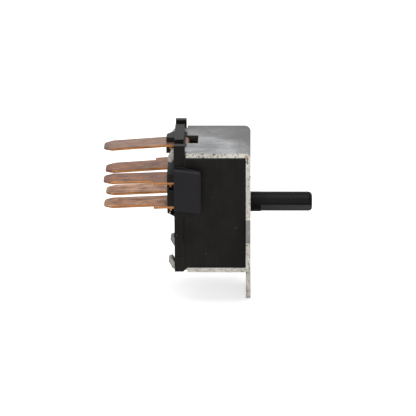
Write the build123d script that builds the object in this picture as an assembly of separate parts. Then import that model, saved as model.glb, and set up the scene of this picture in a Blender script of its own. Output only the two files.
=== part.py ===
from build123d import *
import os
from math import cos, radians, sin

# Rotary blower switch. The origin is on the shaft axis, at the bracket's mounting face.
# +X runs out along the shaft, +Z up to the single blade, and the blades point along -X.

# Bent sheet bracket: a channel of two flanges behind a front plate
sheet = 1.5
bend_inner = 0.4
bracket_width = 27.5
channel_top = 19.4
channel_bottom = -17.4
top_flange_end = -20.2
bottom_flange_end = -20.0
feed_notch_width = 7.6
feed_notch_depth = 3.6
relief_height = 2.0
relief_width = 0.4
relief_depth = 1.0
plate_hole_gap = 0.4

# Screw wings and lower ear of the bracket
wing_reach = 21.0
wing_start_z = -0.5
wing_top_z = -6.0
wing_bottom_z = -15.6
wing_corner = 2.0
wing_hole_y = 17.4
wing_hole_z = -10.8
wing_hole_radius = 2.1
ear_width = 16.0
ear_end_z = -31.0
ear_corner = 3.0
ear_slit = 0.7
ear_hole_z = -25.4
ear_hole_radius = 2.5

# Clinch tabs that hold the terminal board
tab_width = 4.0
tab_y = 9.6
tab_leg = 3.15
tab_lean = 28
tab_tip_round = 0.45
tab_gap = 0.1
tab_chamfer_depth = 0.6
tab_chamfer_height = 1.2

# Moulded housing
housing_gap = 0.05
housing_edge = 0.35
front_wall = 2.0
cavity_radius = 12.4
cavity_step_radius = 11.3

# Moulded terminal board
board_face = -24.0
board_thick = 3.5
board_rise = 2.5
board_drop = 1.3
board_heel = 0.8
board_tongue_width = 15.0
board_post_inner = 11.75
board_tongue_relief = 0.5
near_panel_top = -0.3
near_panel_bottom = -14.0
near_panel_depth = 0.35
near_groove_front = -20.8
near_groove_width = 0.5
near_groove_bottom = -9.0
near_groove_depth = 0.8

# Connector latch ramp on the board's near side
ramp_top = 16.3
ramp_bottom = 2.5
ramp_end = -15.4
ramp_root_reach = 2.3
ramp_tip_reach = 5.4
ramp_thick = 1.5
ramp_round = 0.7

# Blade terminals
blade_width = 7.9
blade_thick = 0.8
blade_tip = -46.4
tip_taper = 2.4
tip_width = 4.8
tip_corner = 1.5
tip_bevel = 0.22
blade_pair_y = 6.05
shoulder_reach = 2.1
shoulder_end = -30.5
bend_start = -26.7
blade_bend = 6.0
feed_bend = 0.8
feed_rise = 0.8
feed_y = -0.4
feed_neck_width = 6.3
feed_neck_start = -21.4
upper_z = 10.35
lower_z = 2.4
slot_gap = 0.05
slot_run_out = 2.0
slot_step = 0.6
foot_thick = 0.8
foot_room = 0.3
tie_height = 1.4
pad_margin = 0.1

# Bosses round the blades on the board's outer face
boss_face = -26.2
feed_boss_face = -26.6
feed_boss_far = 4.1
feed_boss_near = 2.1
feed_boss_slant_x = 2.0
feed_boss_slant_y = 2.65
feed_boss_rise = 2.0
feed_boss_drop = 2.4
pair_boss_margin = 0.3
pair_boss_rise = 3.25
pair_boss_drop = 2.9
pair_boss_slant = 1.1
pair_boss_split = 1.0
barb_pocket_wall = 0.7
barb_pocket_depth = 2.2
barb_pocket_height = 2.2
barb_start = -25.5
barb_length = 0.7
barb_height = 0.7
barb_width = 1.0

# Feed terminal inside the housing
feed_drop_x = -19.7
feed_pad_z = 11.5
feed_pad_room = 2.0
feed_pad_end = -17.2
feed_channel_gap = 0.45

# Shaft: a bearing part inside the plate and a slimmer D part for the knob
bearing_radius = 3.35
shaft_radius = 3.175
collar_step = 0.02
shaft_end = 19.6
shaft_running_gap = 0.06
flat_start = 3.3
flat_depth = 0.9
flat_angle = 45
end_round = 1.3
shaft_flange_radius = 5.0
shaft_flange_thick = 1.2
drive_square = 5.0
journal_radius = 2.0
journal_end = -22.2
journal_floor_gap = 0.15

# Thrust washer behind the front wall
washer_thick = 0.5
washer_radius = 4.9
washer_play = 0.2
washer_bore_gap = 0.2

# Rotor
rotor_radius = 10.6
rotor_front = -7.0
rotor_back = -17.4
pocket_inner = 3.9
pocket_outer = 6.2
pocket_floor = -13.9
drive_gap = 0.05
clip_radius = 3.4
clip_thick = 0.5
clip_groove_depth = 0.25
clip_gap = 0.05
clip_place = -15.5
clip_mouth = 3.2
lug_place = 180
lug_angle = 26
lug_inner = 5.6
lug_outer = 9.6
lug_height = 1.6
stop_gap_angle = 1.5
stop_height = 2.9

# Detents
turn_range = 120
turn_step = 30
detent_x = -11.0
detent_ring_width = 5.0
detent_land = 11.0
detent_ring_gap = 0.05
ball_radius = 1.5
ball_land_gap = 0.25
ball_travel = 0.6
ball_bore_gap = 0.08
ball_pocket_gap = 0.25
bore_floor = 4.7
detent_wire = 0.3
detent_coil_radius = 0.95
detent_turns = 5

# Contact disc, its silver contact and its spring
disc_radius = 11.2
disc_thick = 0.8
disc_hole_radius = 3.0
contact_circle = 9.0
contact_radius = 1.35
contact_height = 0.65
contact_shank = 0.7
contact_round = 0.3
wiper_height = 0.5
off_angle = -75
post_circle = 7.5
post_radius = 0.9
post_gap = 0.15
spring_wire = 0.5
spring_radius = 5.0
spring_turns = 3.5

# Places worked out from the sizes above
plate_hole_radius = bearing_radius + plate_hole_gap
housing_width = bracket_width - 2 * housing_gap
board_inner = board_face + board_thick
flange_top_outer = channel_top + sheet
flange_bottom_outer = channel_bottom - sheet
board_top = flange_top_outer + board_rise
board_bottom = channel_bottom - board_drop
feed_z = channel_top + feed_rise
pair_boss_reach = blade_pair_y + blade_width / 2 + shoulder_reach + pair_boss_margin
pair_boss_top = upper_z + pair_boss_rise
pair_boss_bottom = lower_z - pair_boss_drop
wall_inner = -sheet - front_wall
flange_front = wall_inner - washer_thick - washer_play
flange_back = flange_front - shaft_flange_thick
foot_inner = board_inner + foot_thick
rivet_face = foot_inner + contact_height
disc_face = rotor_back - disc_thick
ball_centre = detent_land - ball_radius - ball_land_gap
blade_rows = {
    1: (feed_y, feed_z, 4.3),
    2: (blade_pair_y, upper_z, 4.1),
    3: (-blade_pair_y, upper_z, 2.0),
    4: (blade_pair_y, lower_z, 2.8),
    5: (-blade_pair_y, lower_z, 2.3),
}
contact_angles = {5: -45, 3: -15, 2: 15, 4: 45}


def block(x, y, z):
    """Box between two values on each axis."""
    size = (abs(x[1] - x[0]), abs(y[1] - y[0]), abs(z[1] - z[0]))
    return Pos(sum(x) / 2, sum(y) / 2, sum(z) / 2) * Box(*size)


def rod(x, radius, y=0.0, z=0.0):
    """Cylinder along X between two values of X."""
    middle = Pos(sum(x) / 2, y, z)
    return middle * Rot(0, 90, 0) * Cylinder(radius, abs(x[1] - x[0]))


def ring(x, outer, inner):
    """Flat ring about the shaft axis."""
    return rod(x, outer) - rod((x[0] - 1, x[1] + 1), inner)


def prism(plane, points, start, end):
    """Outline in a plane, carried along the plane's normal between two distances."""
    face = make_face(plane * Polyline(*points, close=True))
    placed = Pos(*(plane.z_dir * start)) * face
    return extrude(placed, end - start, dir=tuple(plane.z_dir))


def on_circle(radius, angle):
    """Y and Z of a point on a circle, with the angle from +Z towards +Y."""
    return radius * sin(radians(angle)), radius * cos(radians(angle))


def sector(x, outer, inner, middle, width):
    """Piece of a ring, centred on an angle, for stops and lugs."""
    reach = outer * 2
    count = max(2, int(width / 40) + 1)
    edge = [on_circle(reach, middle - width / 2 + width * i / count) for i in range(count + 1)]
    return ring(x, outer, inner) & prism(Plane.YZ, [(0, 0)] + edge, *x)


def side_profile(points, radius, thick, width, y):
    """Strip of even thickness that follows points in X and Z, across a width in Y."""
    if radius:
        line = FilletPolyline(*points, radius=radius)
    else:
        line = Polyline(*points)
    strip = Plane.XZ * trace(line, thick)
    solid = extrude(strip, width / 2, dir=(0, 1, 0), both=True)
    return Pos(0, y, 0) * solid


def tab(flange_end, mid_z, side, y):
    """Clinch tab that leaves a flange, passes the board and bends over its edge."""
    tip_x = board_face - tab_leg * sin(radians(tab_lean))
    tip_z = mid_z - side * tab_leg * cos(radians(tab_lean))
    points = [(flange_end + 1.0, mid_z), (board_face, mid_z), (tip_x, tip_z)]
    body = side_profile(points, bend_inner + sheet / 2, sheet, tab_width, y)
    tip_face = body.faces().sort_by_distance((tip_x, y, tip_z))[0]
    return fillet(tip_face.edges().filter_by(Axis.Y), tab_tip_round)


def plate_outline():
    """Front plate with its two screw wings, in Y and Z."""
    half = bracket_width / 2
    top = flange_top_outer - sheet - bend_inner
    bottom = flange_bottom_outer + sheet + bend_inner
    right = [(half, top), (half, wing_start_z), (wing_reach, wing_top_z),
             (wing_reach, wing_bottom_z), (half, bottom)]
    left = [(-y, z) for y, z in reversed(right)]
    plate = prism(Plane.YZ, right + left, -sheet, 0)
    tips = plate.edges().filter_by(Axis.X).filter_by(lambda e: abs(e.center().Y) > wing_reach - 0.1)
    return fillet(tips, wing_corner)


def ear():
    """Lower mounting ear, left in the plate's plane when the flange is bent back."""
    tongue = block((-sheet, 0), (-ear_width / 2, ear_width / 2), (ear_end_z, wing_bottom_z))
    ends = tongue.edges().filter_by(Axis.X).sort_by(Axis.Z)[:2]
    return fillet(ends, ear_corner)


def mounting_bracket():
    """Zinc plated sheet: two flanges, front plate, wings, ear, notch and clinch tabs."""
    top_mid = channel_top + sheet / 2
    bottom_mid = channel_bottom - sheet / 2
    front_mid = -sheet / 2
    path = [(top_flange_end, top_mid), (front_mid, top_mid), (front_mid, bottom_mid),
            (bottom_flange_end, bottom_mid)]
    channel = side_profile(path, bend_inner + sheet / 2, sheet, bracket_width, 0)
    ear_length = abs(ear_end_z - flange_bottom_outer)
    window_half = ear_width / 2 + ear_slit
    window = block((-sheet - ear_length - ear_slit, 1), (-window_half, window_half),
                   (flange_bottom_outer - 1, channel_bottom + bend_inner))
    body = channel - window + plate_outline() + ear()
    body -= block((top_flange_end - 1, top_flange_end + feed_notch_depth),
                  (-feed_notch_width / 2, feed_notch_width / 2), (channel_top - 1, flange_top_outer + 1))
    body -= rod((-sheet - 1, 1), plate_hole_radius)
    for y in (-wing_hole_y, wing_hole_y):
        body -= rod((-sheet - 1, 1), wing_hole_radius, y, wing_hole_z)
    body -= rod((-sheet - 1, 1), ear_hole_radius, 0, ear_hole_z)
    relief_z = (channel_top - relief_height, channel_top)
    for side in (-1, 1):
        relief_y = (side * (bracket_width / 2 - relief_depth), side * bracket_width)
        body -= block((front_mid - relief_width, front_mid), relief_y, relief_z)
    for y in (-tab_y, tab_y):
        body += tab(top_flange_end, top_mid, 1, y)
        body += tab(bottom_flange_end, bottom_mid, -1, y)
    return body


def housing():
    """Moulded case that fills the channel: rotor cavity, shaft hole, stops and feed slot."""
    half = housing_width / 2
    body = block((board_inner, -sheet), (-half, half),
                 (channel_bottom + housing_gap, channel_top - housing_gap))
    front_edges = body.faces().sort_by(Axis.X)[-1].edges().filter_by(Axis.Y)
    body = chamfer(front_edges, bend_inner + housing_gap)
    sides = body.faces().filter_by(Axis.Y).edges()
    body = chamfer(sides.filter_by(lambda e: e.center().X > board_inner + sheet), housing_edge)
    ring_back = detent_x + detent_ring_width / 2
    body -= rod((board_inner - 1, ring_back), cavity_radius)
    body -= rod((ring_back - 1, wall_inner), cavity_step_radius)
    body -= rod((wall_inner - 1, 0), bearing_radius + shaft_running_gap)
    foot_half = blade_pair_y + blade_width / 2 + foot_room
    body -= block((board_inner - 1, foot_inner + tab_gap), (-foot_half, foot_half),
                  (lower_z - foot_room - blade_thick, upper_z + foot_room + blade_thick))
    slot_half = feed_neck_width / 2 + feed_channel_gap
    body -= block((board_inner - 1, top_flange_end + feed_notch_depth), (-slot_half, slot_half),
                  (feed_pad_z - feed_pad_room, channel_top + 1))
    lug_sweep = turn_range + lug_angle + 2 * stop_gap_angle
    middle = lug_place + turn_range / 2 + 180
    body += sector((wall_inner - stop_height, wall_inner), cavity_step_radius + 0.2, lug_inner,
                   middle, 360 - lug_sweep)
    return body


def latch_ramp():
    """Springy ramp that locks a connector, moulded out from the board's near side."""
    near = -bracket_width / 2
    root = near - ramp_root_reach
    tip = near - ramp_tip_reach
    points = [(board_face, near + 1), (board_face, root), (ramp_end, tip),
              (ramp_end, tip + ramp_thick), (board_inner, root + ramp_thick + 0.5), (board_inner, near + 1)]
    body = prism(Plane.XY, points, ramp_bottom, ramp_top)
    nose = body.edges().filter_by(lambda e: e.center().Y < root - 0.1 and e.center().X > board_face)
    return fillet(nose, ramp_round)


def blade_bosses():
    """Raised blocks round the blades on the board's outer face."""
    slant_x = feed_boss_face + feed_boss_slant_x
    slant_y = feed_boss_far - feed_boss_slant_y
    side = [(slant_x, feed_boss_far), (board_face, feed_boss_far)]
    feed = Part()
    levels = [(feed_boss_near, feed_z, feed_z + feed_boss_rise),
              (blade_width / 2 - feed_y, feed_z - feed_boss_drop, feed_z)]
    for near_y, bottom, top in levels:
        plan = [(board_face, -near_y), (feed_boss_face, -near_y), (feed_boss_face, slant_y)] + side
        feed += prism(Plane.XY, plan, bottom, top)
    outline = [(board_face, pair_boss_top), (boss_face, pair_boss_top),
               (boss_face, pair_boss_bottom + pair_boss_slant), (board_face, pair_boss_bottom)]
    pairs = prism(Plane.XZ, outline, -pair_boss_reach, pair_boss_reach)
    pairs -= block((boss_face - 1, board_face), (pair_boss_split, pair_boss_reach + 1),
                   (upper_z - blade_thick / 2 - slot_gap, pair_boss_top + 1))
    return feed + pairs


def blade_slot(y, z, reach):
    """Cut for one blade through the board and its boss."""
    half = blade_width / 2 + slot_gap
    thick = blade_thick / 2 + slot_gap
    low = y - half
    high = y + half
    if y > 0:
        high += reach
    else:
        low -= reach
    through = block((board_face - 5, board_inner + 1), (y - half, y + half), (z - thick, z + thick))
    outer = block((board_face - 5, board_face + slot_step), (low, high), (z - thick, z + thick))
    return through + outer


def terminal_board():
    """Moulded base: carries the blades, closes the housing and bears the shaft's inner end."""
    half = bracket_width / 2
    body = block((board_face, board_inner), (-half, half), (board_bottom, board_top))
    heel = body.faces().sort_by(Axis.X)[-1].edges().filter_by(Axis.Y).sort_by(Axis.Z)[0]
    body = chamfer(heel, board_heel)
    tongue = board_tongue_width / 2
    foot_end = bottom_flange_end - tab_gap
    foot = [(board_inner - board_heel, board_bottom), (board_inner - board_heel, channel_bottom),
            (foot_end, channel_bottom)]
    for side in (-1, 1):
        gap = (side * tongue, side * board_post_inner)
        body -= block((board_face - 1, board_inner + 1), gap, (channel_top - tab_gap, board_top + 1))
        body -= block((board_face - 1, board_inner + 1), gap, (board_bottom - 1, channel_bottom + tab_gap))
        post = sorted((side * board_post_inner, side * half))
        body += prism(Plane.XZ, foot, -post[1], -post[0])
        ledge = (side * feed_notch_width / 2, side * tongue)
        body += block((board_inner - 1, top_flange_end - tab_gap), ledge, (channel_top, flange_top_outer))
    body -= block((board_inner - board_tongue_relief, board_inner + 1), (-tongue, tongue),
                  (flange_top_outer, board_top + 1))
    for edge_z, way in ((channel_top - tab_gap, -1), (channel_bottom + tab_gap, 1)):
        wedge = [(board_face, edge_z + way * tab_chamfer_height), (board_face - 1, edge_z - way),
                 (board_face + tab_chamfer_depth, edge_z - way), (board_face + tab_chamfer_depth, edge_z)]
        for side in (-1, 1):
            gap = sorted((side * tongue, side * board_post_inner))
            body -= prism(Plane.XZ, wedge, -gap[1], -gap[0])
    body -= block((board_face - 1, board_inner + 1), (-half - 1, -half + near_panel_depth),
                  (near_panel_bottom, near_panel_top))
    body -= block((near_groove_front - near_groove_width, near_groove_front),
                  (-half - 1, -half + near_groove_depth), (near_groove_bottom, near_panel_top))
    body += blade_bosses()
    body += latch_ramp()
    for number, (y, z, bend) in blade_rows.items():
        reach = shoulder_reach + slot_run_out if number > 1 else slot_run_out
        body -= blade_slot(y, z, reach)
    pocket_y = (-pair_boss_reach - 1, -pair_boss_reach + barb_pocket_depth)
    for z in (upper_z, lower_z):
        body -= block((boss_face + barb_pocket_wall, board_face), pocket_y, (z - barb_pocket_height, z))
    near = feed_y - blade_width / 2
    pocket_y = (near - 1, near + barb_width + slot_step)
    body -= block((feed_boss_face + barb_pocket_wall, board_face), pocket_y,
                  (feed_z - blade_thick / 2 - barb_height - slot_gap, feed_z))
    body -= rod((journal_end - journal_floor_gap, board_inner + 1), journal_radius + shaft_running_gap)
    return body


def blade_plan(y, number):
    """Plan of a blade in X and Y: tapered tip, straight sides and one outer shoulder."""
    half = blade_width / 2
    tip = tip_width / 2
    outer = half + shoulder_reach if number > 1 else half
    side = 1 if y > 0 else -1
    points = [(feed_pad_end, -half), (blade_tip + tip_taper, -half), (blade_tip, -tip), (blade_tip, tip),
              (blade_tip + tip_taper, half), (shoulder_end, half), (shoulder_end, outer),
              (board_face, outer), (board_face, half), (feed_pad_end, half)]
    if number == 1:
        points = [p for p in points if p[0] != shoulder_end and p[0] != board_face]
    placed = [(px, y + side * py) for px, py in points]
    plan = prism(Plane.XY, placed, board_bottom, board_top + blade_width)
    tip_edges = plan.edges().filter_by(Axis.Z).filter_by(lambda e: e.center().X < blade_tip + 0.1)
    return fillet(tip_edges, tip_corner)


def bevel_tip(body):
    """Coined bevel all round a blade's tip, on both faces."""
    limit = blade_tip + tip_taper - tip_bevel
    rims = body.edges().filter_by(lambda e: e.center().X < limit and abs((e @ 1 - e @ 0).Z) < e.length / 2)
    return chamfer(rims, tip_bevel)


def barb(near_y, z):
    """Tooth under a blade's near edge, which catches in the boss."""
    under = z - blade_thick / 2
    return block((barb_start, barb_start + barb_length), (near_y, near_y + barb_width),
                 (under - barb_height, under + 0.1))


def blade_points(z, bend):
    """Path of a blade from past its bent tip to the board's inner face."""
    start = blade_tip - blade_thick
    drop = (bend_start - start) * sin(radians(bend))
    return [(start, z - drop), (bend_start, z), (board_inner, z)]


def feed_terminal():
    """Single blade: passes over the flange notch, drops into the housing and meets the disc rim."""
    y, z, bend = blade_rows[1]
    outer = blade_points(z, bend)[:2]
    pad_mid = feed_pad_z + blade_thick / 2
    inner = [(feed_drop_x, z), (feed_drop_x, pad_mid), (feed_pad_end, pad_mid)]
    strip = side_profile(outer + inner, feed_bend, blade_thick, blade_width, y)
    body = bevel_tip(strip & blade_plan(y, 1))
    half = feed_neck_width / 2
    for side in (-1, 1):
        body -= block((feed_neck_start, feed_pad_end + 1), (side * half, side * blade_width),
                      (feed_pad_z - 1, feed_z + 1))
    return body + barb(y - blade_width / 2, z)


def pair_terminal(number):
    """Blade of a pair, with a foot on the board's inner face that carries its contact."""
    y, z, bend = blade_rows[number]
    side = 1 if y > 0 else -1
    blade = side_profile(blade_points(z, bend), blade_bend, blade_thick, 2 * pair_boss_reach, y)
    body = bevel_tip(blade & blade_plan(y, number))
    if y < 0:
        body += barb(y - blade_width / 2 - shoulder_reach, z)
    cy, cz = on_circle(contact_circle, contact_angles[number])
    pad = contact_radius + pad_margin
    foot_x = (board_inner, foot_inner)
    low = y - blade_width / 2
    high = y + blade_width / 2
    body += block((board_inner - 0.2, foot_inner), (low, high), (z - blade_thick / 2, z + blade_thick / 2))
    if z > 5:
        tie = (side * (abs(cy) - pad), side * (abs(y) + blade_width / 2))
        body += block(foot_x, tie, (z - tie_height, z + blade_thick / 2))
        body += block(foot_x, (cy - pad, cy + pad), (cz - pad, z))
    else:
        body += block(foot_x, (cy - pad, cy + pad), (z - blade_thick / 2, cz + pad))
    return body - rod((board_inner - 1, foot_inner + 1), contact_shank + slot_gap, cy, cz)


def contact_rivet(number):
    """Silver contact headed into a terminal's foot."""
    cy, cz = on_circle(contact_circle, contact_angles[number])
    head = rod((foot_inner, rivet_face), contact_radius, cy, cz)
    head = fillet(head.edges().sort_by(Axis.X)[-1], contact_round)
    return head + rod((board_inner, foot_inner + 0.1), contact_shank, cy, cz)


def shaft():
    """Moulded shaft: D end, flange, square drive and inner journal with a clip groove."""
    body = rod((flat_start, shaft_end), shaft_radius)
    body = fillet(body.edges().sort_by(Axis.X)[-1], end_round)
    cut = block((flat_start, shaft_end + 1), (-shaft_radius - 1, shaft_radius + 1),
                (shaft_radius - flat_depth, shaft_radius + 1))
    body -= Rot(90 + flat_angle, 0, 0) * cut
    body += rod((0, flat_start), shaft_radius + collar_step)
    body += rod((flange_front, 0), bearing_radius)
    body += rod((flange_back, flange_front), shaft_flange_radius)
    half = drive_square / 2
    body += block((clip_place, flange_back), (-half, half), (-half, half))
    body += rod((journal_end, clip_place), journal_radius)
    groove = ring((clip_place - clip_thick - clip_gap, clip_place), journal_radius + 1,
                  journal_radius - clip_groove_depth)
    return body - groove


def rotor():
    """Moulded rotor: detent drum, stop lug, disc posts and spring pocket."""
    body = rod((rotor_back, rotor_front), rotor_radius)
    body += rod((rotor_front, flange_back), bore_floor)
    body += sector((rotor_front - 0.5, rotor_front + lug_height), lug_outer, lug_inner, lug_place,
                   lug_angle)
    body -= ring((rotor_back - 1, pocket_floor), pocket_outer, pocket_inner)
    body -= rod((rotor_back - 1, clip_place), pocket_inner + 0.1)
    hole = drive_square / 2 + drive_gap
    body -= block((rotor_back, flange_back + 1), (-hole, hole), (-hole, hole))
    for side in (-1, 1):
        bore = Cylinder(ball_radius + ball_bore_gap, rotor_radius)
        body -= Pos(detent_x, 0, side * (bore_floor + rotor_radius / 2)) * bore
    for turn in (-90, 90):
        y, z = on_circle(post_circle, off_angle + turn)
        body += rod((disc_face + 0.1, rotor_back + 0.2), post_radius, y, z)
    return body


def rotor_clip():
    """Spring clip in the journal groove, which holds the rotor against the shaft flange."""
    body = ring((clip_place - clip_thick, clip_place), clip_radius,
                journal_radius - clip_groove_depth + clip_gap)
    half = clip_mouth / 2
    return body - block((clip_place - 2, clip_place + 1), (-half, half), (0, clip_radius + 1))


def detent_ring():
    """Ring pressed into the housing, with a groove for each knob position."""
    half = detent_ring_width / 2
    body = ring((detent_x - half, detent_x + half), cavity_radius - detent_ring_gap, detent_land)
    groove = ball_radius + ball_pocket_gap
    for step in range(turn_range // turn_step + 1):
        for side in (0, 180):
            y, z = on_circle(ball_centre + ball_travel, step * turn_step + side)
            body -= rod((detent_x - half - 1, detent_x + half + 1), groove, y, z)
    return body


def detent_ball(side):
    """Steel ball in the rotor's radial bore."""
    return Pos(detent_x, 0, side * ball_centre) * Sphere(ball_radius)


def coil(radius, wire, length, turns):
    """Helical spring about +Z, standing on Z = 0, with its wire inside the length."""
    path = Helix(pitch=(length - wire) / turns, height=length - wire, radius=radius)
    start = Plane(origin=path @ 0, z_dir=path % 0)
    return Pos(0, 0, wire / 2) * sweep(start * Circle(wire / 2), path=path, is_frenet=True)


def detent_spring(side):
    """Spring behind a detent ball."""
    length = ball_centre - ball_radius - bore_floor - 0.05
    spring = coil(detent_coil_radius, detent_wire, length, detent_turns)
    if side < 0:
        spring = Rot(180, 0, 0) * spring
    return Pos(detent_x, 0, side * bore_floor) * spring


def thrust_washer():
    """Washer between the shaft flange and the front wall."""
    return ring((wall_inner - washer_thick, wall_inner), washer_radius, bearing_radius + washer_bore_gap)


def contact_disc():
    """Copper disc that links the feed blade at its rim to one speed contact."""
    body = ring((disc_face, rotor_back), disc_radius, disc_hole_radius)
    for turn in (-90, 90):
        y, z = on_circle(post_circle, off_angle + turn)
        body -= rod((disc_face - 1, rotor_back + 1), post_radius + post_gap, y, z)
    y, z = on_circle(contact_circle, off_angle)
    return body - rod((disc_face - 1, rotor_back + 1), contact_shank + slot_gap, y, z)


def wiper_contact():
    """Silver contact headed into the disc."""
    y, z = on_circle(contact_circle, off_angle)
    head = rod((disc_face - wiper_height, disc_face), contact_radius, y, z)
    head = fillet(head.edges().sort_by(Axis.X)[0], contact_round)
    return head + rod((disc_face - 0.1, rotor_back), contact_shank, y, z)


def contact_spring():
    """Spring that presses the disc towards the terminal board."""
    length = pocket_floor - rotor_back
    spring = coil(spring_radius, spring_wire, length - 0.1, spring_turns)
    return Pos(rotor_back + 0.05, 0, 0) * Rot(0, 90, 0) * spring


def build_parts():
    """Name every piece of the switch and make its solid."""
    parts = {
        "mounting_bracket": mounting_bracket(),
        "housing": housing(),
        "terminal_board": terminal_board(),
        "feed_terminal_1": feed_terminal(),
        "shaft": shaft(),
        "rotor": rotor(),
        "rotor_clip": rotor_clip(),
        "thrust_washer": thrust_washer(),
        "detent_ring": detent_ring(),
        "detent_ball_upper": detent_ball(1),
        "detent_ball_lower": detent_ball(-1),
        "detent_spring_upper": detent_spring(1),
        "detent_spring_lower": detent_spring(-1),
        "contact_disc": contact_disc(),
        "wiper_contact": wiper_contact(),
        "contact_spring": contact_spring(),
    }
    for number in contact_angles:
        parts[f"speed_terminal_{number}"] = pair_terminal(number)
        parts[f"contact_rivet_{number}"] = contact_rivet(number)
    return parts


os.makedirs("parts", exist_ok=True)
for name, solid in build_parts().items():
    export_step(solid, f"parts/{name}.step")
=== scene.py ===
import math

import bpy
import numpy as np
from mathutils import Matrix, Vector


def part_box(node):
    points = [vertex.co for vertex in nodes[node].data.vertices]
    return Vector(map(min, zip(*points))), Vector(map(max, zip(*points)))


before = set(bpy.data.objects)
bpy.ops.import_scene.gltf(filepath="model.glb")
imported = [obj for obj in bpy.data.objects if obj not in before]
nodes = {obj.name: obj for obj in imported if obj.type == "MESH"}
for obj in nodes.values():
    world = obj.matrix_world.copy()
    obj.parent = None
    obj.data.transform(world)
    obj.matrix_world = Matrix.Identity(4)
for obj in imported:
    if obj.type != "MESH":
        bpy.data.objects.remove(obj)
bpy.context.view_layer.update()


# Housing: an open box moulded in glass-filled nylon that fills the bracket's channel.
# Its flat sides came out of a lightly textured mould, and have picked up dust and scuffs.
class Socket:
    """One output of a material's node tree, with Python's operators adding Math nodes."""

    def __init__(self, tree, output):
        self.tree = tree
        self.output = output

    def node(self, kind, settings=(), inputs=(), output=0):
        """Any other node: its type, its settings first, then the values or links of its inputs."""
        made = self.tree.nodes.new(kind)
        for name, value in dict(settings).items():
            setattr(made, name, value)
        for key, value in dict(inputs).items():
            if isinstance(value, Socket):
                self.tree.links.new(value.output, made.inputs[key])
            else:
                made.inputs[key].default_value = value
        return Socket(self.tree, made.outputs[output])

    def maths(self, operation, first, second=None):
        values = {0: first}
        if second is not None:
            values[1] = second
        return self.node("ShaderNodeMath", {"operation": operation}, values)

    def __add__(self, other):
        return self.maths("ADD", self, other)

    __radd__ = __add__

    def __mul__(self, other):
        return self.maths("MULTIPLY", self, other)

    __rmul__ = __mul__

    def __sub__(self, other):
        return self.maths("SUBTRACT", self, other)

    def __rsub__(self, other):
        return self.maths("SUBTRACT", other, self)

    def __abs__(self):
        return self.maths("ABSOLUTE", self)

    def most(self, other):
        return self.maths("MAXIMUM", self, other)

    def step(self, low, high):
        """0 below low, 1 above high and a smooth rise between them."""
        settings = {"interpolation_type": "SMOOTHSTEP"}
        return self.node("ShaderNodeMapRange", settings, {0: self, 1: low, 2: high})

    def tint(self, dark, light):
        """Colour that goes from dark at 0 to light at 1."""
        inputs = {0: self}
        for key, value in ((6, dark), (7, light)):
            inputs[key] = value if isinstance(value, Socket) else (*value, 1.0)
        return self.node("ShaderNodeMix", {"data_type": "RGBA"}, inputs, 2)

    def part(self, axis):
        """One of a vector's X, Y and Z."""
        return self.node("ShaderNodeSeparateXYZ", (), {0: self}, axis)

    def dot(self, other):
        inputs = {0: self, 1: other}
        return self.node("ShaderNodeVectorMath", {"operation": "DOT_PRODUCT"}, inputs, 1)

    def away_from(self, point):
        """Distance of a place from a point."""
        inputs = {0: self, 1: point}
        return self.node("ShaderNodeVectorMath", {"operation": "DISTANCE"}, inputs, 1)

    def noise(self, scale, detail=4.0, rough=0.55):
        inputs = {"Vector": self, "Scale": scale, "Detail": detail, "Roughness": rough}
        return self.node("ShaderNodeTexNoise", (), inputs)

    def cells(self, scale):
        return self.node("ShaderNodeTexVoronoi", (), {"Vector": self, "Scale": scale})

    def stretch(self, x, y, z):
        return self.node("ShaderNodeMapping", (), {"Vector": self, "Scale": (x, y, z)})

    def bump(self, strength, distance, under):
        inputs = {"Height": self, "Strength": strength, "Distance": distance, "Normal": under}
        return self.node("ShaderNodeBump", (), inputs)


def start_finish(name, edge_radius):
    """New finish: its shader, places and normals on the piece, rounded edges, and where they are."""
    material = bpy.data.materials.new(name)
    material.use_nodes = True
    tree = material.node_tree
    coordinates = tree.nodes.new("ShaderNodeTexCoord")
    geometry = tree.nodes.new("ShaderNodeNewGeometry")
    place = Socket(tree, coordinates.outputs["Object"])
    facing = Socket(tree, coordinates.outputs["Normal"])
    flat = Socket(tree, geometry.outputs["Normal"])
    rounded = place.node("ShaderNodeBevel", {"samples": 6}, {"Radius": edge_radius})
    edge = (1.0 - rounded.dot(flat)).step(0.01, 0.12)
    return material, tree.nodes["Principled BSDF"], place, facing, rounded, edge


def feed(shader, **links):
    """Puts values or Sockets on the shader's inputs; underscores stand for spaces."""
    for key, value in links.items():
        entry = shader.inputs[key.replace("_", " ")]
        if isinstance(value, Socket):
            value.tree.links.new(value.output, entry)
        else:
            entry.default_value = value


def wear(node, material):
    """Gives a CAD node its finish."""
    mesh = nodes[node].data
    mesh.materials.clear()
    mesh.materials.append(material)


moulding_black = (0.0042, 0.0036, 0.0031)
moulding_dusty = (0.0085, 0.0076, 0.0068)
moulding_edge = (0.040, 0.038, 0.038)
dust_grey = (0.16, 0.155, 0.15)


def moulding(name, extra=None):
    """Satin black nylon: fine grain, cloudy handling marks, paler edges and a few grains of dust."""
    material, shader, place, facing, rounded, edge = start_finish(name, 0.00022)
    cloud = place.noise(170.0, 5.0)
    grain = place.noise(5200.0, 2.0)
    scuff = place.stretch(900.0, 900.0, 130.0).noise(1.0, 3.0)
    colour = (cloud * 0.7 + scuff * 0.3).step(0.35, 0.7).tint(moulding_black, moulding_dusty)
    if extra:
        colour = extra(place, colour)
    worn = edge * scuff.step(0.40, 0.62) * 0.7
    colour = worn.tint(colour, moulding_edge)
    speck = (1.0 - place.cells(620.0).step(0.05, 0.09)) * place.noise(260.0, 1.0).step(0.62, 0.66)
    colour = speck.tint(colour, dust_grey)
    texture = grain * 0.6 + scuff * 0.4
    feed(shader, Base_Color=colour, Roughness=cloud * 0.14 + worn * 0.1 + 0.33,
         Specular_IOR_Level=0.12, Normal=texture.bump(0.10, 0.00006, rounded))
    return material


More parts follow.
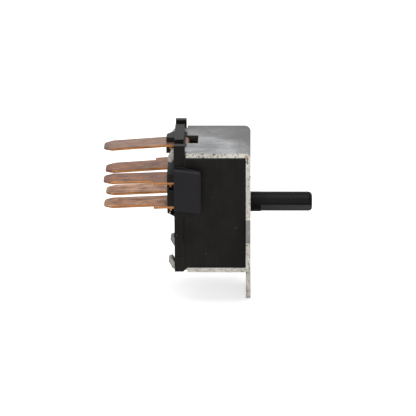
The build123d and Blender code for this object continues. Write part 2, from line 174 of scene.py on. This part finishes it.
wear("housing", moulding("housing_moulding"))

# Shaft and rotor: turned by the knob as one, moulded in slippery acetal, with a snap
# clip of spring steel behind the rotor and a thrust washer behind the case's front wall.
material, shader, place, facing, rounded, edge = start_finish("acetal", 0.00022)
drawn = place.stretch(90.0, 1300.0, 1300.0).noise(1.0, 4.0)
cloud = place.noise(240.0, 4.0)
grain = place.noise(4200.0, 2.0)
rub = (drawn * 0.5 + cloud * 0.5).step(0.38, 0.68)
colour = rub.tint((0.0022, 0.0018, 0.0018), (0.0052, 0.0045, 0.0043))
colour = (edge * drawn.step(0.4, 0.6) * 0.6).tint(colour, (0.045, 0.045, 0.046))
# Painted reflection: the flat side, facing down and forward, is painted paler to stand in for the white
# floor it reflects.
flat_painted_reflection = facing.dot((0.0, -0.7071, -0.7071)).step(0.990, 0.998)
colour = flat_painted_reflection.tint(colour, rub.tint((0.0135, 0.0130, 0.0130), (0.0245, 0.0235, 0.0230)))
speck = (1.0 - place.cells(800.0).step(0.05, 0.09)) * place.noise(300.0, 1.0).step(0.60, 0.66)
feed(shader, Base_Color=speck.tint(colour, dust_grey), Roughness=rub * 0.12 + 0.34,
     Specular_IOR_Level=0.07, Normal=(drawn * 0.5 + grain * 0.5).bump(0.12, 0.00006, rounded))
for node in ("shaft", "rotor", "detent_ring"):
    wear(node, material)

# Springs, clip, washer and balls: bright steel with fine drawing marks and a film of grease.
# The springs are coiled wire, the clip and washer are stamped, and all lie loose in their seats.
material, shader, place, facing, rounded, edge = start_finish("spring_steel", 0.00008)
cloud = place.noise(900.0, 4.0)
feed(shader, Base_Color=cloud.tint((0.36, 0.35, 0.33), (0.62, 0.61, 0.59)), Metallic=0.9,
     Roughness=cloud * 0.18 + 0.22, Normal=place.noise(6000.0, 2.0).bump(0.1, 0.00003, rounded))
for node in ("rotor_clip", "thrust_washer", "detent_ball_upper", "detent_ball_lower",
             "detent_spring_upper", "detent_spring_lower", "contact_spring"):
    wear(node, material)

# Blades and contact disc: stamped from copper strip 0.8 mm thick. The rolled faces have gone a
# dull pinkish brown, and the sheared edges stay orange. The tips are coined thin and dark.
material, shader, place, facing, rounded, edge = start_finish("copper", 0.00016)
blade_tip_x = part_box("feed_terminal_1")[0][0]
along = place.part(0)
streak = place.stretch(110.0, 1700.0, 1700.0).noise(1.0, 5.0, 0.6)
cloud = place.noise(330.0, 5.0, 0.6)
patch = place.stretch(110.0, 260.0, 420.0).noise(1.0, 4.0, 0.6)
speckle = place.noise(3300.0, 3.0)
dull = (streak * 0.45 + cloud * 0.30 + speckle * 0.25).step(0.38, 0.63)
upper_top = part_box("speed_terminal_2")[1][2]
lower_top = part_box("speed_terminal_4")[1][2]
height = place.part(2)
at_feed = height.step(upper_top + 0.001, upper_top + 0.002)
# Painted light: the lower blades' faces are painted much paler to stand in for the extra light they catch
# from the front.
lower_blades_painted_light = 1.0 - height.step(lower_top - 0.0005, lower_top + 0.0005)
face_colour = dull.tint((0.095, 0.042, 0.026), (0.350, 0.180, 0.120))
face_colour = at_feed.tint(face_colour, dull.tint((0.150, 0.086, 0.062), (0.335, 0.212, 0.160)))
face_colour = lower_blades_painted_light.tint(face_colour, dull.tint((0.320, 0.155, 0.088), (0.960, 0.590, 0.390)))
red = patch.step(0.47, 0.60) * (0.80 - at_feed * 0.65)
face_colour = red.tint(face_colour, dull.tint((0.160, 0.058, 0.028), (0.470, 0.210, 0.108)))
sheared = abs(facing.part(1)).step(0.55, 0.85)
burr = streak.step(0.34, 0.62)
edge_colour = burr.tint((0.180, 0.062, 0.019), (0.460, 0.215, 0.080))
colour = sheared.tint(face_colour, edge_colour)
rim = edge * (1.0 - sheared) * streak.step(0.35, 0.6) * 0.55
colour = rim.tint(colour, (0.085, 0.044, 0.030))
coined_length = 0.0034
near_tip = 1.0 - along.step(blade_tip_x + 0.0010, blade_tip_x + coined_length)
tip_dark = near_tip * (speckle * 0.6 + cloud * 0.4).step(0.40, 0.60) * 0.65
tip_dark = tip_dark.most(near_tip * edge * 0.9)
colour = tip_dark.tint(colour, (0.050, 0.028, 0.022))
feed(shader, Base_Color=colour, Metallic=0.70, Roughness=dull * 0.12 + 0.36, Specular_IOR_Level=0.2,
     Normal=(streak * 0.6 + speckle * 0.4).bump(0.22, 0.00008, rounded))
for node in ("feed_terminal_1", "speed_terminal_2", "speed_terminal_3", "speed_terminal_4",
             "speed_terminal_5", "contact_disc"):
    wear(node, material)

# Contacts: fine silver buttons headed into the blades' feet and the disc, slightly sulphided.
material, shader, place, facing, rounded, edge = start_finish("contact_silver", 0.0001)
cloud = place.noise(1200.0, 4.0)
feed(shader, Base_Color=cloud.tint((0.42, 0.40, 0.36), (0.78, 0.77, 0.74)), Metallic=0.95,
     Roughness=cloud * 0.15 + 0.22, Normal=place.noise(5000.0, 2.0).bump(0.1, 0.00003, rounded))
for node in ("wiper_contact", "contact_rivet_2", "contact_rivet_3", "contact_rivet_4", "contact_rivet_5"):
    wear(node, material)


# Terminal board: moulded in the same nylon, with the latch ramp standing off its near side.
# The ramp was polished in the mould and looks a little bluer.
def ramp_blue(place, colour):
    """Turns the moulding's colour bluer on what stands more than 1.2 mm off the near side."""
    ramp_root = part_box("housing")[0][1] - 0.0012
    on_ramp = 1.0 - place.part(1).step(ramp_root - 0.0004, ramp_root)
    return on_ramp.tint(colour, (0.0105, 0.0096, 0.0118))


wear("terminal_board", moulding("board_moulding", ramp_blue))

# Bracket: 1.5 mm steel sheet, zinc plated before it was cut, so its faces are a stained grey
# and its cut edges a pitted cream. Its tabs are clinched over the terminal board.
material, shader, place, facing, rounded, edge = start_finish("zinc_plate", 0.00020)
bracket_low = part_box("mounting_bracket")[0]
case_low, case_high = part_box("housing")
sheet = 0.0015
along, across, height = place.part(0), place.part(1), place.part(2)
cloud = place.noise(95.0, 6.0, 0.62)
smear = place.stretch(70.0, 210.0, 210.0).noise(1.0, 5.0, 0.6)
fine = place.noise(1500.0, 4.0, 0.65)
grain = place.stretch(500.0, 2600.0, 2600.0).noise(1.0, 3.0)
stain = (smear * 0.5 + cloud * 0.35 + fine * 0.15).step(0.38, 0.64)
forward = along.step(-0.019, -0.001)
band = (across + along * 0.47 + (cloud - 0.5) * 0.016).step(-0.0055, 0.0010)
stain = (stain + (1.0 - band) * 0.30) * (1.0 - band * (forward * 0.42 + 0.42))
fold = along.step(-0.0070, -0.0030) * facing.part(2).step(0.1, 0.6)
stain = stain * (1.0 - fold * fine.step(0.34, 0.58) * 0.75)
smudge = place.stretch(420.0, 900.0, 900.0).noise(1.0, 4.0, 0.65).step(0.56, 0.64)
stain = stain * (1.0 - smudge * 0.40)
fleck = place.noise(2400.0, 3.0, 0.7)
face_colour = (stain * 0.85 + fleck * 0.35 - 0.06).tint((0.060, 0.058, 0.054), (0.305, 0.310, 0.320))
spot = place.noise(620.0, 3.0, 0.6)
pit = (1.0 - place.cells(560.0).step(0.10, 0.22)) * (spot + forward * 0.12).step(0.55, 0.63)
face_colour = (pit * 0.85).tint(face_colour, (0.035, 0.032, 0.030))
side_cut = abs(facing.part(1)).step(0.35, 0.5)
end_cut = abs(facing.part(0)).step(0.6, 0.8) * (1.0 - along.step(-0.010, -0.009))
below_flange = 1.0 - height.step(case_low[2] - 0.004, case_low[2] - 0.003)
ear_cut = abs(facing.part(2)).step(0.6, 0.8) * below_flange
cut = side_cut.most(end_cut).most(ear_cut)
cream = (fine * 0.5 + cloud * 0.5).step(0.35, 0.62)
cream = cream.tint((0.345, 0.325, 0.280), (0.560, 0.545, 0.495))
chip = place.noise(1100.0, 3.0, 0.7).step(0.56, 0.63)
cream = (chip * 0.9).tint(cream, (0.060, 0.050, 0.042))
# Painted reflection: the cut edge on the wings' slanted shoulder is painted dark grey to stand in for the
# grey surroundings it reflects.
above_screws = height.step(case_low[2] * 0.40, case_low[2] * 0.34)
on_wing = (0.0 - across).step(case_high[1], case_high[1] + 0.001)
slant_painted_reflection = (1.0 - height.step(-0.0014, -0.0004)) * above_screws * on_wing
cream = (slant_painted_reflection * cloud.step(0.20, 0.40)).tint(cream, (0.088, 0.084, 0.079))
# Painted shade: the cut edges in the notch at the top flange's left end are painted near black for the
# deep shade inside it.
notch_half = 0.0039
notch_end = -0.0158
notch_painted_shade = 1.0 - abs(across).step(notch_half, notch_half + 0.0002)
notch_painted_shade = notch_painted_shade * along.step(bracket_low[0], bracket_low[0] + 0.004)
notch_painted_shade = notch_painted_shade * (1.0 - along.step(notch_end, notch_end + 0.0004))
notch_painted_shade = notch_painted_shade * height.step(case_high[2] - 0.001, case_high[2])
cream = notch_painted_shade.tint(cream, (0.022, 0.017, 0.012))
# Painted shade: the cut edges of the clinched tabs are painted greyer to stand in for the shade on them.
tab_root = -0.0228
tab_painted_shade = (1.0 - along.step(tab_root - 0.0004, tab_root)) * 0.45
cream = tab_painted_shade.tint(cream, (0.130, 0.125, 0.118))
colour = cut.tint(face_colour, cream)
dash = edge * place.stretch(700.0, 1500.0, 700.0).noise(1.0, 3.0, 0.6).step(0.52, 0.58)
colour = (dash * 0.8).tint(colour, (0.045, 0.038, 0.032))
rust_place = (-sheet * 0.9, case_low[1], case_high[2] + 0.0004)
rust = (1.0 - place.away_from(rust_place).step(0.0003, 0.0010)) * fine.step(0.35, 0.55)
colour = (rust * 0.8).tint(colour, (0.300, 0.120, 0.045))
relief = fine * 0.5 + grain * 0.3 - chip * 0.6 - pit * 0.6
feed(shader, Base_Color=colour, Metallic=(1.0 - cut) * 0.35 + 0.05, Roughness=stain * 0.10 + 0.42,
     Normal=relief.bump(0.30, 0.00012, rounded))
wear("mounting_bracket", material)

# Camera: on the near side, about twenty degrees above the shaft, with a slight roll,
# and far enough off that the blades hardly converge.
azimuth, elevation, roll = math.radians(1.0), math.radians(20.5), math.radians(0.3)
distance = 0.830
target = Vector((-0.0136, 0.0, -0.0023))
pixels_per_metre = 3130.0
frame_pixels = 416
away = Vector((math.sin(azimuth) * math.cos(elevation), -math.cos(azimuth) * math.cos(elevation),
               math.sin(elevation)))
camera = bpy.data.objects.new("camera", bpy.data.cameras.new("camera"))
bpy.context.scene.collection.objects.link(camera)
camera.location = target + away * distance
turn = away.to_track_quat("Z", "Y") @ Matrix.Rotation(-roll, 4, "Z").to_quaternion()
camera.rotation_euler = turn.to_euler()
camera.data.sensor_width = 36.0
camera.data.lens = 36.0 * pixels_per_metre * distance / frame_pixels
camera.data.clip_start = 0.01
camera.data.clip_end = 10.0
bpy.context.scene.camera = camera

# Floor: a pale sheet just under the ear. It glows a little where the camera sees it, so it
# reads as white, and it still takes the switch's shadow.
def ray_kinds(tree):
    """1 where a ray comes from the camera, off a glossy surface, or through a clear one."""
    rays = tree.nodes.new("ShaderNodeLightPath")
    names = ("Is Camera Ray", "Is Glossy Ray", "Is Transmission Ray")
    return [Socket(tree, rays.outputs[name]) for name in names]


floor_half = 1.6
floor_z = bracket_low[2] - 0.0002
corners = np.array([(-1, -1), (1, -1), (1, 1), (-1, 1)]) * floor_half
floor_mesh = bpy.data.meshes.new("floor")
floor_mesh.from_pydata([(x, y, floor_z) for x, y in corners], [], [(0, 1, 2, 3)])
floor = bpy.data.objects.new("floor", floor_mesh)
bpy.context.scene.collection.objects.link(floor)
material = bpy.data.materials.new("floor_white")
material.use_nodes = True
seen, glossy, through = ray_kinds(material.node_tree)
glow = seen.most(through).most(glossy * 0.2)
feed(material.node_tree.nodes["Principled BSDF"], Base_Color=(0.62, 0.62, 0.62, 1.0), Roughness=0.9,
     Specular_IOR_Level=0.0, Emission_Strength=0.62,
     Emission_Color=glow.tint((0.0, 0.0, 0.0), (1.0, 1.0, 1.0)))
floor_mesh.materials.append(material)

# Studio: a plain white room with one broad lamp above and a weaker one in front. The room
# is white to the camera and in reflections, and dimmer as a light.
world = bpy.data.worlds.new("studio")
bpy.context.scene.world = world
world.use_nodes = True
seen, glossy, through = ray_kinds(world.node_tree)
room_light = 0.62
feed(world.node_tree.nodes["Background"], Color=(1.0, 1.0, 1.0, 1.0),
     Strength=seen.most(through).most(glossy).most(room_light))


def lamp(name, size, place, aim, power):
    """Square soft light at a place, turned to a point."""
    light = bpy.data.lights.new(name, "AREA")
    light.size = size
    light.energy = power
    made = bpy.data.objects.new(name, light)
    made.location = place
    made.rotation_euler = (Vector(place) - Vector(aim)).to_track_quat("Z", "Y").to_euler()
    bpy.context.scene.collection.objects.link(made)


lamp("key", 0.50, (-0.05, -0.10, 0.55), (-0.01, 0.0, 0.0), 3.0)
lamp("fill", 0.60, (-0.15, -0.70, 0.25), (-0.01, 0.0, 0.0), 2.2)

bpy.context.scene.view_settings.view_transform = "Standard"
